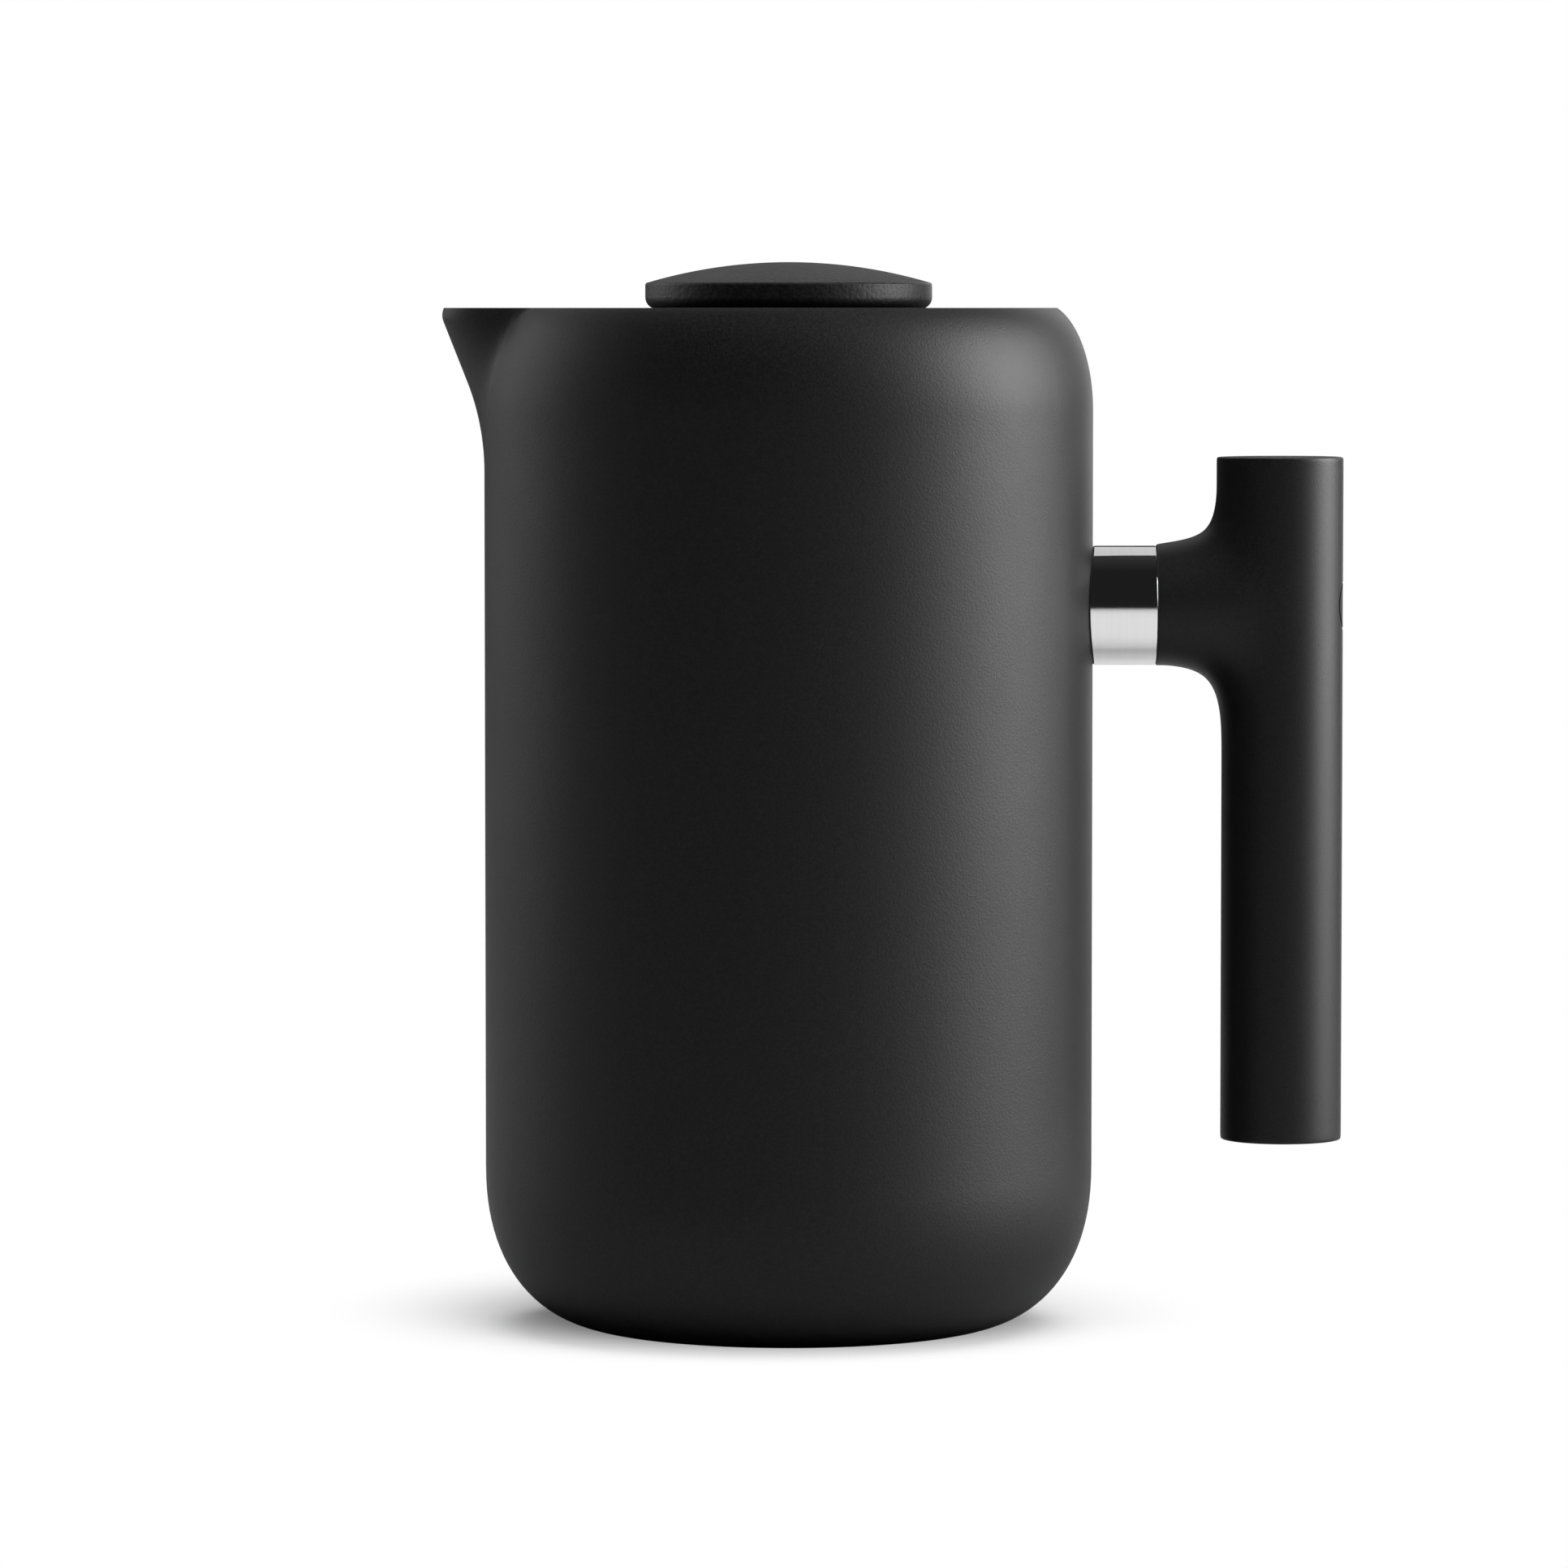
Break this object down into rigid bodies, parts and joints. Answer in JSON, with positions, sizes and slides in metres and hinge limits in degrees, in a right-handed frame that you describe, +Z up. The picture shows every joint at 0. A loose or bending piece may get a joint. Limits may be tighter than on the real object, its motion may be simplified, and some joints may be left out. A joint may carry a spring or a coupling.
{
  "type": "french press",
  "caption": "Insulated double-walled coffee press with a pouring spout, a bolted bar handle, a lift-out lid and a sliding plunger with a mesh filter.",
  "frame": {"origin": "on the floor, on the vessel's axis, at the middle of the base pad's underside", "axes": "+Z up along the vessel's axis, +X towards the handle, -X towards the spout"},
  "size_m": [0.1543, 0.104, 0.1828],
  "materials": {
    "powder_coat": "matte black powder coat with a fine speckle",
    "liner_coat": "satin black non-stick coat",
    "soft_plastic": "matte black moulding with a fine texture",
    "lid_plastic": "matte black moulding",
    "polished_steel": "polished stainless steel",
    "satin_steel": "satin stainless steel",
    "steel_gauze": "woven fine steel wire",
    "black_silicone": "matte black silicone",
    "sealing_glass": "fused sealing bead",
    "getter_alloy": "dull pressed pellet",
    "bush_plastic": "smooth white low-friction plastic",
    "insert_brass": "turned brass"
  },
  "bodies": {
    "vessel": {"outer_shell": "powder_coat", "inner_liner": "liner_coat", "base_cup": "satin_steel", "vacuum_seal": "sealing_glass", "vacuum_getter": "getter_alloy", "base_pad": "black_silicone", "handle_boss": "satin_steel", "collar_gasket": "black_silicone", "handle_collar": "polished_steel", "grip_gasket": "black_silicone", "handle": "soft_plastic", "handle_bolt": "satin_steel", "bolt_washer": "satin_steel", "bolt_plug": "soft_plastic"},
    "lid": {"lid_cap": "lid_plastic", "lid_frame": "lid_plastic", "lid_gasket": "black_silicone", "lid_screw_1": "satin_steel", "lid_screw_2": "satin_steel", "lid_screw_3": "satin_steel", "rod_bush": "bush_plastic"},
    "plunger": {"plunger_rod": "polished_steel", "knob_shell": "soft_plastic", "knob_insert": "insert_brass", "knob_base": "lid_plastic", "filter_cross_plate": "satin_steel", "filter_mesh": "steel_gauze", "filter_top_plate": "satin_steel", "filter_spring": "satin_steel", "filter_nut": "satin_steel"}
  },
  "joints": [
    {"name": "lid_lift", "type": "slide", "parent": "vessel", "child": "lid", "axis": [0, 0, 1], "range_m": [0, 0.19]},
    {"name": "plunge", "type": "slide", "parent": "lid", "child": "plunger", "axis": [0, 0, 1], "range_m": [0, 0.12]}
  ]
}
